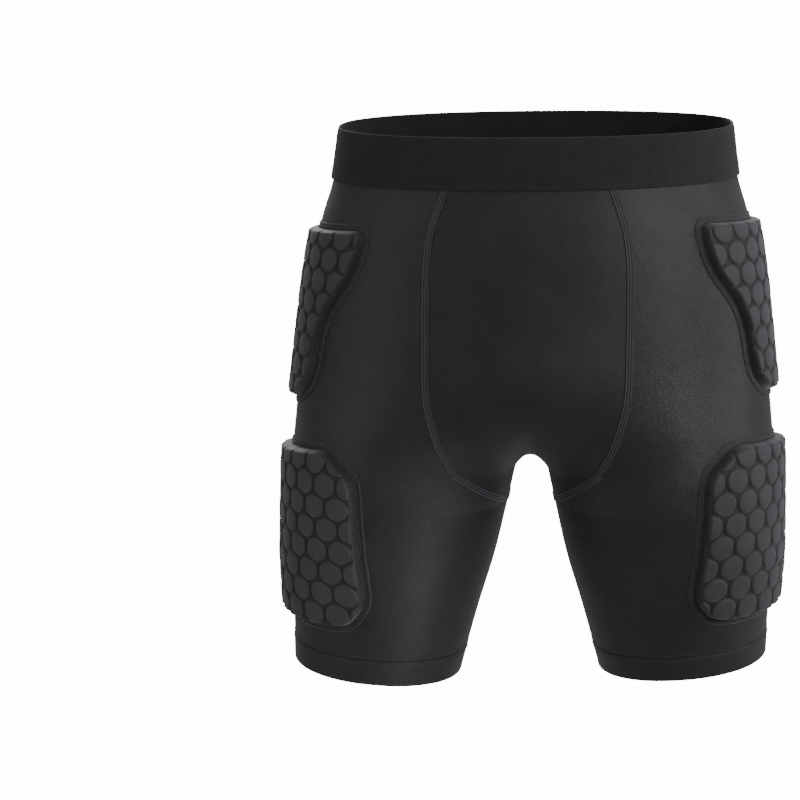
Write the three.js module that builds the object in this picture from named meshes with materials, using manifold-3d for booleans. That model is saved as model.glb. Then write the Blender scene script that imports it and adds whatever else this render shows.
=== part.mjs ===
// Padded compression shorts, in the form that they have when they are worn: a waistband, a front
// panel, a seat panel, two leg panels with folded hems, and five pads of foam cells.
// Millimetres, +Z up. The wearer faces -Y and +X is the wearer's left. The origin is the middle of
// the waistband, at half its height. A height is a drop below the top edge of the band.
import * as THREE from 'three';
import Module from 'manifold-3d';
import { mergeVertices } from 'three/addons/utils/BufferGeometryUtils.js';

const { clamp, degToRad, lerp: mix, smoothstep } = THREE.MathUtils;
const wasm = await Module();
wasm.setup();

// Heights: the band, the fullest part of the seat, the crotch and the hem
const BAND_HEIGHT = 40;
const SEAT_DROP = 195;
const RISE = 260;
const INSEAM = 174;
const HEM_HEIGHT = 20;
const HEM_TILT = 6.5;

// Widths across both legs, and depths in front of and behind the side line
const WAIST_WIDTH = 304;
const WAIST_FRONT = 100;
const WAIST_BACK = 98;
const SEAT_WIDTH = 371;
const SEAT_FRONT = 109;
const SEAT_BACK = 134;
const THIGH_WIDTH = 384;
const THIGH_FRONT = 99;
const THIGH_BACK = 107;

// Each leg: the space between the two legs' centres, the leg opening, and how far it strides
const LEG_SPACING_TOP = 202;
const LEG_SPACING_HEM = 244;
const HEM_WIDTH = 136;
const HEM_FRONT = 73;
const HEM_BACK = 70;
const STRIDE = 10;

// The crotch: where the torso starts to fork, where it has forked, and its rounding
const FORK_RISE = 90;
const FORK_FALL = 15;
const CROTCH_ROUND = 12;
const GUSSET_DROP = 35;
const POUCH_DEPTH = 9;
const POUCH_RADIUS = 45;
const POUCH_DROP = 195;
const POUCH_FADE = 60;

// Cloth
const WALL = 2;
const BAND_WALL = 2.2;
const HEM_WALL = 3;
const HEM_PROUD = 0.4;
const BAND_TUCK = 8;
const SEAM_GAP = 0.35;
const LAYER_GAP = 0.3;

// Pads
const PAD_CLEARANCE = 1.3;
const COVER_MARGIN = 2.5;
const TAIL_COVER_MARGIN = 5;
const PAD_HEIGHT = 9;
const PAD_FOOT = 1.2;
const PAD_BEVEL = 3;
const CELL_PITCH = 20;
const GROOVE_WIDTH = 3.2;
const GROOVE_DEPTH = 3;
const CORE_COVER = 1.5;
const HIP_PAD_WIDTH = 135;
const HIP_PAD_HEIGHT = 145;
const HIP_PAD_DROP = 68;
const HIP_PAD_LEAD = 95.5;
const THIGH_PAD_WIDTH = 180;
const THIGH_PAD_HEIGHT = 147;
const THIGH_PAD_DROP = 240;
const THIGH_PAD_LEAD = 118.5;
const TAIL_PAD_WIDTH = 130;
const TAIL_PAD_HEIGHT = 176;
const TAIL_PAD_DROP = 57;
const TAIL_CELL_PITCH = 24;

// The stance lifts the pads of the left side and turns them back a little, and the other way
// round on the right
const PAD_RAISE = 5.5;
const PAD_TURN = 2.5;

// How far the rows of foam cells sit off the middle of each pad
const HIP_CELLS = { across: 1.5, up: 1.3 };
const THIGH_CELLS = { across: -4.5, up: 1.5 };
const TAIL_CELLS = { across: 0, up: 0 };

// The size label, sewn inside the back under the band
const LABEL_WIDTH = 34;
const LABEL_HEIGHT = 22;
const LABEL_THICKNESS = 0.8;
const LABEL_DROP = 43;
const LABEL_CLEARANCE = 0.5;

const BAND_TOP = BAND_HEIGHT / 2;
const BAND_BOTTOM = -BAND_HEIGHT / 2;
const PANEL_TOP = BAND_BOTTOM + BAND_TUCK;
const CROTCH_Z = BAND_TOP - RISE;
const HEM_Z = CROTCH_Z - INSEAM;

// How the worn form grows from waist to seat, from seat to thigh, and tapers down the leg.
// Every column is a share of the way between the named sizes at its two ends.
const TORSO_SHARES = [
  { down: 0, side: 0, front: 0, back: 0 },
  { down: 0.205, side: 0.18, front: 0.43, back: 0.17 },
  { down: 0.374, side: 0.47, front: 0.79, back: 0.39 },
  { down: 0.564, side: 0.68, front: 1, back: 0.67 },
  { down: 0.77, side: 0.84, front: 1.03, back: 0.92 },
  { down: 1, side: 1, front: 1, back: 1 },
];
const HIP_SHARES = [
  { down: 0.48, side: 0.54, front: 0.3, back: 0.37 },
  { down: 1, side: 1, front: 1, back: 1 },
];
const LEG_SHARES = [
  { down: 0.26, side: 0.18, front: 0.21, back: 0.32 },
  { down: 0.49, side: 0.37, front: 0.46, back: 0.6 },
  { down: 0.72, side: 0.68, front: 0.73, back: 0.81 },
  { down: 1, side: 1, front: 1, back: 1 },
];

// Where the two long seams run, as an angle round the leg's axis from the side line. Down is the
// share of the way from the band to the crotch.
const FRONT_SEAM = [
  { down: 0, degrees: 96.5 },
  { down: 0.13, degrees: 92.8 },
  { down: 0.24, degrees: 92.3 },
  { down: 0.37, degrees: 93.8 },
  { down: 0.54, degrees: 96.3 },
  { down: 0.72, degrees: 99.4 },
  { down: 0.83, degrees: 103.9 },
  { down: 0.91, degrees: 108.9 },
  { down: 1, degrees: 117.2 },
];
const SEAT_SEAM = [
  { down: 0, degrees: 52.7 },
  { down: 0.28, degrees: 77.8 },
  { down: 0.51, degrees: 88.5 },
  { down: 0.77, degrees: 97.9 },
  { down: 1, degrees: 115.8 },
];

// Pad outlines, counter-clockwise as seen from outside on the wearer's left. Across is a share of
// the width from the front edge, up a share of the height, and round, how far a corner is cut
// back, a share of the width.
const HIP_PAD_CORNERS = [
  { across: 0.444, up: 0, round: 0.148 },
  { across: 0.74, up: 0, round: 0.148 },
  { across: 0.97, up: 0.196, round: 0.185 },
  { across: 1, up: 0.93, round: 0.104 },
  { across: 0, up: 1, round: 0.104 },
  { across: 0.02, up: 0.734, round: 0.148 },
  { across: 0.237, up: 0.483, round: 0.163 },
  { across: 0.267, up: 0.126, round: 0.133 },
];
const THIGH_PAD_CORNERS = [
  { across: 0.108, up: 0, round: 0.065 },
  { across: 0.854, up: 0, round: 0.076 },
  { across: 1, up: 0.171, round: 0.086 },
  { across: 1, up: 0.77, round: 0.076 },
  { across: 0.838, up: 0.92, round: 0.076 },
  { across: 0.162, up: 1, round: 0.07 },
  { across: 0, up: 0.843, round: 0.065 },
  { across: 0, up: 0.15, round: 0.065 },
];
const TAIL_PAD_CORNERS = [
  { across: 0.223, up: 0, round: 0.092 },
  { across: 0.777, up: 0, round: 0.092 },
  { across: 0.808, up: 0.118, round: 0.077 },
  { across: 0.823, up: 0.294, round: 0.085 },
  { across: 1, up: 0.439, round: 0.123 },
  { across: 1, up: 0.829, round: 0.123 },
  { across: 0.9, up: 1, round: 0.077 },
  { across: 0.1, up: 1, round: 0.077 },
  { across: 0, up: 0.829, round: 0.123 },
  { across: 0, up: 0.439, round: 0.123 },
  { across: 0.177, up: 0.294, round: 0.085 },
  { across: 0.192, up: 0.118, round: 0.077 },
];

// Fineness of the faceted model
const TORSO_ROWS = 7;
const GUSSET_ROWS = 4;
const THIGH_ROWS = 4;
const FRONT_COLUMNS = 4;
const LEG_COLUMNS = 20;
const SEAT_COLUMNS = 6;
const LABEL_COLUMNS = 3;
const CORNER_STEPS = 2;
const CORNER_LIMIT = 0.45;
const RING_STEPS = 60;
const RING_SPACING = 2;
const MOST_ROUND = 21;
const MOST_UP = 60;
const CENTRE_ROW_POWER = 1.8;
const TORSO_POWER = 2.3;
const LEG_POWER = 2.1;
const REACH = 260;
const GRADIENT_STEP = 0.5;
const HALVINGS = 28;

const cloth = new THREE.MeshStandardMaterial({ color: 0x2b2b2e, roughness: 0.72, metalness: 0 });
const elastic = new THREE.MeshStandardMaterial({ color: 0x1d1d1f, roughness: 0.8, metalness: 0 });
const padCover = new THREE.MeshStandardMaterial({ color: 0x303033, roughness: 0.66, metalness: 0 });
const labelWeave = new THREE.MeshStandardMaterial({ color: 0x232325, roughness: 0.6, metalness: 0 });

// A smooth curve through the rows of a table
function curveThrough(rows, key, value) {
  const knots = rows.map((row) => row[key]);
  const values = rows.map((row) => row[value]);
  const last = knots.length - 1;
  const slopes = knots.map((_, i) => {
    const before = Math.max(i - 1, 0);
    const after = Math.min(i + 1, last);
    return (values[after] - values[before]) / (knots[after] - knots[before]);
  });
  return (x) => {
    const at = clamp(x, knots[0], knots[last]);
    const i = clamp(knots.findLastIndex((knot) => knot <= at), 0, last - 1);
    const span = knots[i + 1] - knots[i];
    const t = (at - knots[i]) / span;
    const rise = t * t * (3 - 2 * t);
    const leave = t * (1 - t) * (1 - t) * span * slopes[i];
    const arrive = t * t * (t - 1) * span * slopes[i + 1];
    return mix(values[i], values[i + 1], rise) + leave + arrive;
  };
}

// Where a function that rises through zero does so
function solve(rising, low, high) {
  let below = low;
  let above = high;
  for (let i = 0; i < HALVINGS; i += 1) {
    const middle = (below + above) / 2;
    if (rising(middle) < 0) below = middle;
    else above = middle;
  }
  return (below + above) / 2;
}

// The worn form

function legCentre(z) {
  const spacing = mix(LEG_SPACING_TOP, LEG_SPACING_HEM, (CROTCH_Z - z) / INSEAM);
  return spacing / 2;
}

const legTop = THIGH_WIDTH / 2 - LEG_SPACING_TOP / 2;
const formRows = [
  ...TORSO_SHARES.map((share) => ({
    drop: share.down * SEAT_DROP,
    side: mix(WAIST_WIDTH, SEAT_WIDTH, share.side) / 2,
    front: mix(WAIST_FRONT, SEAT_FRONT, share.front),
    back: mix(WAIST_BACK, SEAT_BACK, share.back),
  })),
  ...HIP_SHARES.map((share) => ({
    drop: mix(SEAT_DROP, RISE, share.down),
    side: mix(SEAT_WIDTH, THIGH_WIDTH, share.side) / 2,
    front: mix(SEAT_FRONT, THIGH_FRONT, share.front),
    back: mix(SEAT_BACK, THIGH_BACK, share.back),
  })),
  ...LEG_SHARES.map((share) => ({
    drop: RISE + share.down * INSEAM,
    side: legCentre(CROTCH_Z - share.down * INSEAM) + mix(legTop, HEM_WIDTH / 2, share.side),
    front: mix(THIGH_FRONT, HEM_FRONT, share.front),
    back: mix(THIGH_BACK, HEM_BACK, share.back),
  })),
];
const sideAt = curveThrough(formRows, 'drop', 'side');
const frontAt = curveThrough(formRows, 'drop', 'front');
const backAt = curveThrough(formRows, 'drop', 'back');

const sections = new Map();
function sectionAt(z) {
  if (!sections.has(z)) {
    const drop = BAND_TOP - z;
    const centre = legCentre(z);
    const side = sideAt(drop);
    const forked = 1 - smoothstep(z, CROTCH_Z - FORK_FALL, CROTCH_Z + FORK_RISE);
    const depths = { front: frontAt(drop), back: backAt(drop) };
    sections.set(z, { centre, side, leg: side - centre, ...depths, forked });
  }
  return sections.get(z);
}

function ovalGap(x, y, side, front, back, power) {
  const depth = y < 0 ? front : back;
  const reach = Math.abs(x / side) ** power + Math.abs(y / depth) ** power;
  return (reach ** (1 / power) - 1) * side;
}

function smoothMin(a, b, round) {
  const near = Math.max(round - Math.abs(a - b), 0) / round;
  return Math.min(a, b) - near * near * round / 4;
}

// Negative inside the body, positive outside: one oval that forks into two legs, and the pouch
function bodyGap(x, y, z) {
  const { centre, side, leg, front, back, forked } = sectionAt(z);
  const torso = ovalGap(x, y, side, front, back, TORSO_POWER);
  const left = ovalGap(x - centre, y, leg, front, back, LEG_POWER);
  const right = ovalGap(x + centre, y, leg, front, back, LEG_POWER);
  const fromPouch = (x * x + (z - BAND_TOP + POUCH_DROP) ** 2) / POUCH_RADIUS ** 2;
  const pouch = POUCH_DEPTH * Math.exp(-fromPouch) * smoothstep(-y / POUCH_FADE, 0, 1);
  return mix(torso, smoothMin(left, right, CROTCH_ROUND), forked) - pouch;
}

// A place on the skin is a point and the direction that faces outwards there
function skinThrough(x, y, z) {
  const step = GRADIENT_STEP;
  const normal = new THREE.Vector3(
    bodyGap(x + step, y, z) - bodyGap(x - step, y, z),
    bodyGap(x, y + step, z) - bodyGap(x, y - step, z),
    bodyGap(x, y, z + step) - bodyGap(x, y, z - step),
  );
  return { point: new THREE.Vector3(x, y, z), normal: normal.normalize() };
}

const SADDLE_Z = -solve((drop) => bodyGap(0, 0, -drop), -CROTCH_Z - FORK_RISE, -CROTCH_Z + FORK_FALL);
const TIP_Z = SADDLE_Z - GUSSET_DROP;

function centreDepth(z, toBack) {
  return solve((depth) => bodyGap(0, toBack * depth, z), 0, REACH);
}

// The angle round the leg's axis at which a level section meets the middle of the body
function centreAngle(z, toBack) {
  return z > SADDLE_Z ? Math.atan2(centreDepth(z, toBack), -legCentre(z)) : Math.PI;
}

function skinAt(z, angle) {
  const toBack = Math.sign(angle);
  if (z > SADDLE_Z && Math.abs(angle) >= centreAngle(z, toBack)) {
    return skinThrough(0, toBack * centreDepth(z, toBack), z);
  }
  const centre = legCentre(z);
  const toMiddle = Math.cos(angle) < 0 ? -centre / Math.cos(angle) : REACH;
  const gapAt = (r) => bodyGap(centre + r * Math.cos(angle), r * Math.sin(angle), z);
  const out = solve(gapAt, 0, Math.min(toMiddle, REACH));
  return skinThrough(centre + out * Math.cos(angle), out * Math.sin(angle), z);
}

// The wearer's right side is the mirror of the left. The right leg is a little ahead.
function worn({ point, normal }, side) {
  const down = Math.max(SADDLE_Z - point.z, 0) / (SADDLE_Z - HEM_Z);
  return {
    point: new THREE.Vector3(side * point.x, point.y + side * STRIDE * down * down, point.z),
    normal: new THREE.Vector3(side * normal.x, normal.y, normal.z),
  };
}

// Sheets of cloth

function addWalls(faces, count) {
  const edges = new Set(faces.flatMap(([a, b, c]) => [`${a} ${b}`, `${b} ${c}`, `${c} ${a}`]));
  const walls = [];
  for (const edge of edges) {
    const [from, to] = edge.split(' ').map(Number);
    if (!edges.has(`${to} ${from}`)) {
      walls.push([to, from, from + count], [to, from + count, to + count]);
    }
  }
  return walls;
}

const hasThreeCorners = (face) => new Set(face).size === 3;

function meshOf(name, points, faces, material) {
  const geometry = new THREE.BufferGeometry();
  const values = points.flatMap((point) => point.toArray());
  geometry.setAttribute('position', new THREE.Float32BufferAttribute(values, 3));
  geometry.setIndex(faces.flat());
  geometry.computeVertexNormals();
  const mesh = new THREE.Mesh(geometry, material);
  mesh.name = name;
  return mesh;
}

const placeKey = (point) => point.toArray().map((value) => Math.round(value * 1000) + 0).join(' ');

// Patches are grids of places on the wearer's left, rows going down and columns going from the
// front round to the back. Those that share an edge become one sheet of even thickness.
function sheet(name, patches, outer, inner, material) {
  const numbers = new Map();
  const skins = [];
  const faces = [];
  const numberOf = (skin) => {
    const key = placeKey(skin.point);
    if (!numbers.has(key)) numbers.set(key, skins.push(skin) - 1);
    return numbers.get(key);
  };
  const lengthOf = (a, b) => skins[a].point.distanceTo(skins[b].point);
  for (const { grid, side } of patches) {
    const rows = grid.map((row) => row.map((skin) => numberOf(worn(skin, side))));
    for (let i = 1; i < rows.length; i += 1) {
      for (let j = 1; j < rows[i].length; j += 1) {
        const [a, b, c, d] = [rows[i - 1][j - 1], rows[i - 1][j], rows[i][j], rows[i][j - 1]];
        const acIsShort = lengthOf(a, c) <= lengthOf(b, d);
        const pair = (acIsShort ? [[a, d, c], [a, c, b]] : [[a, d, b], [d, c, b]]).filter(hasThreeCorners);
        faces.push(...pair.map((face) => (side > 0 ? face : face.reverse())));
      }
    }
  }
  const offset = (by) => skins.map(({ point, normal }) => point.clone().addScaledVector(normal, by));
  const inside = faces.map(([a, b, c]) => [a + skins.length, c + skins.length, b + skins.length]);
  const walls = addWalls(faces, skins.length);
  return meshOf(name, [...offset(outer), ...offset(inner)], [...faces, ...inside, ...walls], material);
}

const range = (count) => Array.from({ length: count + 1 }, (_, i) => i / count);
const bothSides = (grid) => [{ grid, side: 1 }, { grid, side: -1 }];

// The two long seams, down the body and then under the crotch to the tip of the gusset
function seamRows(table) {
  const angleAt = curveThrough(table, 'down', 'degrees');
  const atCrotch = degToRad(angleAt(1));
  const torso = range(TORSO_ROWS).map((down) => ({
    z: mix(BAND_BOTTOM, SADDLE_Z, down),
    level: mix(BAND_BOTTOM, SADDLE_Z, down),
    angle: degToRad(angleAt(down)),
  }));
  const gusset = range(GUSSET_ROWS).slice(1).map((q) => ({
    z: SADDLE_Z - GUSSET_DROP * (1 - (1 - q) ** 2),
    level: mix(SADDLE_Z, TIP_Z, q),
    angle: mix(atCrotch, Math.PI, q),
  }));
  return [{ ...torso[0], z: PANEL_TOP, level: PANEL_TOP }, ...torso, ...gusset];
}
const frontSeam = seamRows(FRONT_SEAM);
const seatSeam = seamRows(SEAT_SEAM);

// A seam's row, moved into its panel by the gap that two sewn panels keep
function insideSeam(seam, toBack, i) {
  const { z, angle } = seam[i];
  const { point } = skinAt(z, toBack * angle);
  const radius = Math.hypot(point.x - legCentre(z), point.y);
  const before = seam[Math.max(i - 1, 0)];
  const after = seam[Math.min(i + 1, seam.length - 1)];
  const atTip = i === seam.length - 1;
  const along = new THREE.Vector2((after.angle - before.angle) * radius, atTip ? 0 : after.z - before.z);
  along.setLength(SEAM_GAP);
  return { z: z + along.x, angle: Math.min(angle - along.y / radius, Math.PI) };
}

// One half of the front or seat panel, from its seam to the middle of the body
function centrePanel(seam, toBack, columns) {
  const last = seam.length - 1;
  return seam.map((_, i) => {
    const edge = insideSeam(seam, toBack, i);
    const down = Math.max(i - 1, 0) / (last - 1);
    const centreZ = i === 0 ? PANEL_TOP : mix(SADDLE_Z, BAND_BOTTOM, (1 - down) ** CENTRE_ROW_POWER);
    const middle = centreAngle(centreZ, toBack);
    const row = range(columns).map((u) => {
      const z = mix(edge.z, centreZ, u);
      const skin = skinAt(z, toBack * mix(edge.angle, middle, u));
      if (i === last) skin.point.y += toBack * SEAM_GAP / 2;
      if (u === 1) skin.point.x = 0;
      return skin;
    });
    return toBack > 0 ? row : row.reverse();
  });
}

const tilted = (z, angle) => {
  const down = clamp((TIP_Z - z) / (TIP_Z - HEM_Z), 0, 1);
  return z + HEM_TILT * down * Math.cos(angle);
};

function legRing(z) {
  return range(LEG_COLUMNS).map((u) => {
    const angle = mix(-Math.PI, Math.PI, u);
    return skinAt(tilted(z, angle), angle);
  });
}

function legPanel() {
  const above = frontSeam.map(({ level }, i) => range(LEG_COLUMNS).map((u) => {
    const angle = mix(-frontSeam[i].angle, seatSeam[i].angle, u);
    const end = angle < 0 ? frontSeam[i] : seatSeam[i];
    return skinAt(mix(level, end.z, (angle / end.angle) ** 2), angle);
  }));
  const bottom = HEM_Z + HEM_HEIGHT + SEAM_GAP;
  const below = range(THIGH_ROWS).slice(1).map((down) => legRing(mix(TIP_Z, bottom, down)));
  return [...above, ...below];
}

// Half of the band's ring, with its columns where the panels under it have theirs
function bandRing(z) {
  const front = frontSeam[0].angle;
  const seat = seatSeam[0].angle;
  return [
    ...range(FRONT_COLUMNS).map((u) => mix(-centreAngle(z, -1), -front, u)),
    ...range(LEG_COLUMNS).slice(1).map((u) => mix(-front, seat, u)),
    ...range(SEAT_COLUMNS).slice(1).map((u) => mix(seat, centreAngle(z, 1), u)),
  ].map((angle, i, all) => {
    const skin = skinAt(z, angle);
    if (i === 0 || i === all.length - 1) skin.point.x = 0;
    return skin;
  });
}

// Walking round the body at one level

const rings = new Map();
function ringAt(z) {
  const level = Math.round(z / RING_SPACING) * RING_SPACING;
  if (!rings.has(level)) {
    const angles = range(RING_STEPS).map((u) => mix(-centreAngle(level, -1), centreAngle(level, 1), u));
    const points = angles.map((angle) => skinAt(level, angle).point);
    const lengths = [0];
    points.slice(1).forEach((point, i) => lengths.push(lengths[i] + point.distanceTo(points[i])));
    rings.set(level, { angles, lengths });
  }
  return rings.get(level);
}

function lookUp(from, to, x) {
  const i = clamp(from.findLastIndex((value) => value <= x), 0, from.length - 2);
  return mix(to[i], to[i + 1], clamp((x - from[i]) / (from[i + 1] - from[i]), 0, 1));
}

function walkFromSide(z, distance) {
  const { angles, lengths } = ringAt(z);
  return skinAt(z, lookUp(lengths, angles, lookUp(angles, lengths, 0) + distance));
}

function walkFromBack(z, distance) {
  const { angles, lengths } = ringAt(z);
  return skinAt(z, lookUp(lengths, angles, lengths.at(-1) - distance));
}

// Pads, made flat and then laid on the body

function outlinePoints(corners, width, height) {
  const places = corners.map(({ across, up }) => new THREE.Vector2(across * width, up * height));
  const shape = new THREE.Shape();
  places.forEach((at, i) => {
    const toBefore = places.at(i - 1).clone().sub(at);
    const toAfter = places[(i + 1) % places.length].clone().sub(at);
    const cut = corners[i].round * width;
    const start = at.clone().add(toBefore.clampLength(0, Math.min(cut, toBefore.length() * CORNER_LIMIT)));
    const end = at.clone().add(toAfter.clampLength(0, Math.min(cut, toAfter.length() * CORNER_LIMIT)));
    if (i === 0) shape.moveTo(start.x, start.y);
    else shape.lineTo(start.x, start.y);
    shape.quadraticCurveTo(at.x, at.y, end.x, end.y);
  });
  return shape.getPoints(CORNER_STEPS);
}

// The outline moved inwards by the same distance all round
function insetOutline(points, distance) {
  return points.map((point, i) => {
    const arriving = point.clone().sub(points.at(i - 1)).normalize();
    const leaving = points[(i + 1) % points.length].clone().sub(point).normalize();
    const inward = new THREE.Vector2(-arriving.y - leaving.y, arriving.x + leaving.x).normalize();
    const widen = Math.sqrt((1 + arriving.dot(leaving)) / 2);
    return point.clone().addScaledVector(inward, distance / widen);
  });
}

function solidOf(geometry) {
  geometry.deleteAttribute('normal');
  geometry.deleteAttribute('uv');
  const merged = mergeVertices(geometry);
  const vertProperties = merged.getAttribute('position').array;
  const triVerts = new Uint32Array(merged.getIndex().array);
  return new wasm.Manifold(new wasm.Mesh({ numProp: 3, vertProperties, triVerts }));
}

function slab(points, from, to) {
  const settings = { depth: to - from, bevelEnabled: false };
  const geometry = new THREE.ExtrudeGeometry(new THREE.Shape(points), settings);
  return solidOf(geometry.translate(0, 0, from));
}

function bevelledBlock(points, height) {
  const geometry = new THREE.ExtrudeGeometry(new THREE.Shape(insetOutline(points, PAD_BEVEL)), {
    depth: PAD_FOOT,
    bevelThickness: height - PAD_FOOT,
    bevelSize: PAD_BEVEL,
    bevelSegments: 1,
  });
  return solidOf(geometry);
}

// Six-sided cells that widen downwards and run into each other at the bottom of their grooves
function foamCells(width, height, pitch, off) {
  const top = (pitch - GROOVE_WIDTH) / Math.sqrt(3);
  const depth = 2 * GROOVE_DEPTH;
  const foot = top + 2 * GROOVE_WIDTH / Math.sqrt(3);
  const rowPitch = pitch * Math.sqrt(3) / 2;
  const rows = Math.ceil(height / rowPitch);
  const columns = Math.ceil(width / pitch);
  const cells = [];
  for (let row = 0; row <= rows; row += 1) {
    for (let column = 0; column <= columns; column += 1) {
      const x = width / 2 + off.across + (column - columns / 2 + (row % 2) / 2) * pitch;
      const y = height / 2 + off.up + (row - rows / 2) * rowPitch;
      const cell = new THREE.CylinderGeometry(top, foot, depth, 6).rotateX(Math.PI / 2);
      cells.push(solidOf(cell.translate(x, y, PAD_HEIGHT - depth / 2)));
    }
  }
  return cells.reduce((joined, cell) => joined.add(cell));
}

function splitFace([a, b, c], middleOf) {
  const loop = [a, middleOf(a, b), b, middleOf(b, c), c, middleOf(c, a)];
  const first = loop.findIndex((id, i) => i % 2 === 1 && id !== undefined);
  if (first < 0) return [[a, b, c]];
  const fan = [...loop.slice(first), ...loop.slice(0, first)].filter((id) => id !== undefined);
  return fan.slice(2).map((id, i) => [fan[0], fan[i + 1], id]);
}

// Halves the longest edge of every face that reaches too far to follow the body, which curves
// more round it than down it
function splitLongEdges(points, faces) {
  const numbers = new Map(points.map((point, i) => [placeKey(point), i]));
  const middles = new Map();
  const edgeKey = (a, b) => (a < b ? `${a} ${b}` : `${b} ${a}`);
  for (const [a, b, c] of faces) {
    const edges = [[a, b], [b, c], [c, a]].map(([from, to]) => {
      const { x, y } = points[from].clone().sub(points[to]);
      return { from, to, reach: Math.hypot(x / MOST_ROUND, y / MOST_UP) };
    });
    const { from, to, reach } = edges.reduce((best, edge) => (edge.reach > best.reach ? edge : best));
    if (reach > 1 && !middles.has(edgeKey(from, to))) {
      const middle = points[from].clone().lerp(points[to], 0.5);
      const place = placeKey(middle);
      if (!numbers.has(place)) numbers.set(place, points.push(middle) - 1);
      middles.set(edgeKey(from, to), numbers.get(place));
    }
  }
  const split = faces.flatMap((face) => splitFace(face, (a, b) => middles.get(edgeKey(a, b))));
  return middles.size > 0 ? splitLongEdges(points, split.filter(hasThreeCorners)) : faces;
}

// A bevelled block of foam cells, as far in from the pad's outline as its cover is stitched down
function flatPad({ corners, width, height, pitch, cells, margin }) {
  const outline = outlinePoints(corners, width, height);
  const block = bevelledBlock(insetOutline(outline, margin), PAD_HEIGHT);
  const core = slab(outline, 0, PAD_HEIGHT - GROOVE_DEPTH - CORE_COVER);
  const foam = foamCells(width, height, pitch, cells).add(core).intersect(block);
  const { vertProperties, triVerts } = foam.getMesh();
  const points = [];
  for (let i = 0; i < vertProperties.length; i += 3) {
    points.push(new THREE.Vector3().fromArray(vertProperties, i));
  }
  const faces = [];
  for (let i = 0; i < triVerts.length; i += 3) faces.push([...triVerts.slice(i, i + 3)]);
  return { faces: splitLongEdges(points, faces), points };
}

function laidPad(name, { points, faces }, flipped, placeOf) {
  const laid = points.map((flat) => {
    const { point, normal } = placeOf(flat);
    return point.addScaledVector(normal, PAD_CLEARANCE + flat.z);
  });
  const turned = flipped ? faces.map(([a, b, c]) => [a, c, b]) : faces;
  return meshOf(name, laid, turned, padCover);
}

function sidePad(name, flat, side, height, drop, lead) {
  const bottom = BAND_TOP - drop - height + side * PAD_RAISE;
  const front = side * PAD_TURN - lead;
  const placeOf = ({ x, y }) => worn(walkFromSide(bottom + y, x + front), side);
  return laidPad(name, flat, side < 0, placeOf);
}

function tailPad(name) {
  const flat = flatPad({
    corners: TAIL_PAD_CORNERS,
    width: TAIL_PAD_WIDTH,
    height: TAIL_PAD_HEIGHT,
    pitch: TAIL_CELL_PITCH,
    cells: TAIL_CELLS,
    margin: TAIL_COVER_MARGIN,
  });
  const bottom = BAND_TOP - TAIL_PAD_DROP - TAIL_PAD_HEIGHT;
  return laidPad(name, flat, false, ({ x, y }) => {
    const fromMiddle = x - TAIL_PAD_WIDTH / 2;
    return worn(walkFromBack(bottom + y, Math.abs(fromMiddle)), fromMiddle > 0 ? -1 : 1);
  });
}

// The label hangs flat against the inside of the seat panel
function sizeLabel() {
  const top = BAND_TOP - LABEL_DROP;
  const grid = [top, top - LABEL_HEIGHT].map((z) => range(LABEL_COLUMNS).map((u) => {
    const skin = walkFromBack(z, (1 - u) * LABEL_WIDTH / 2);
    if (u === 1) skin.point.x = 0;
    return skin;
  }));
  const outer = -WALL - LABEL_CLEARANCE;
  return sheet('size_label', bothSides(grid), outer, outer - LABEL_THICKNESS, labelWeave);
}

const shorts = new THREE.Group();
const band = [BAND_TOP, BAND_BOTTOM].map(bandRing);
shorts.add(sheet('waistband', bothSides(band), LAYER_GAP + BAND_WALL, LAYER_GAP, elastic));
shorts.add(sheet('front_panel', bothSides(centrePanel(frontSeam, -1, FRONT_COLUMNS)), 0, -WALL, cloth));
shorts.add(sheet('seat_panel', bothSides(centrePanel(seatSeam, 1, SEAT_COLUMNS)), 0, -WALL, cloth));
shorts.add(sizeLabel());
shorts.add(tailPad('tailbone_pad'));

const sidePads = { pitch: CELL_PITCH, margin: COVER_MARGIN };
const hipPad = flatPad({
  ...sidePads,
  corners: HIP_PAD_CORNERS,
  width: HIP_PAD_WIDTH,
  height: HIP_PAD_HEIGHT,
  cells: HIP_CELLS,
});
const thighPad = flatPad({
  ...sidePads,
  corners: THIGH_PAD_CORNERS,
  width: THIGH_PAD_WIDTH,
  height: THIGH_PAD_HEIGHT,
  cells: THIGH_CELLS,
});
const leg = legPanel();
const hem = [HEM_Z + HEM_HEIGHT, HEM_Z].map(legRing);
for (const [hand, side] of [['left', 1], ['right', -1]]) {
  shorts.add(sheet(`leg_panel_${hand}`, [{ grid: leg, side }], 0, -WALL, cloth));
  shorts.add(sheet(`leg_hem_${hand}`, [{ grid: hem, side }], HEM_PROUD, HEM_PROUD - HEM_WALL, cloth));
  shorts.add(sidePad(`hip_pad_${hand}`, hipPad, side, HIP_PAD_HEIGHT, HIP_PAD_DROP, HIP_PAD_LEAD));
  const thighName = `thigh_pad_${hand}`;
  shorts.add(sidePad(thighName, thighPad, side, THIGH_PAD_HEIGHT, THIGH_PAD_DROP, THIGH_PAD_LEAD));
}

export default shorts;
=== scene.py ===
import math

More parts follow.
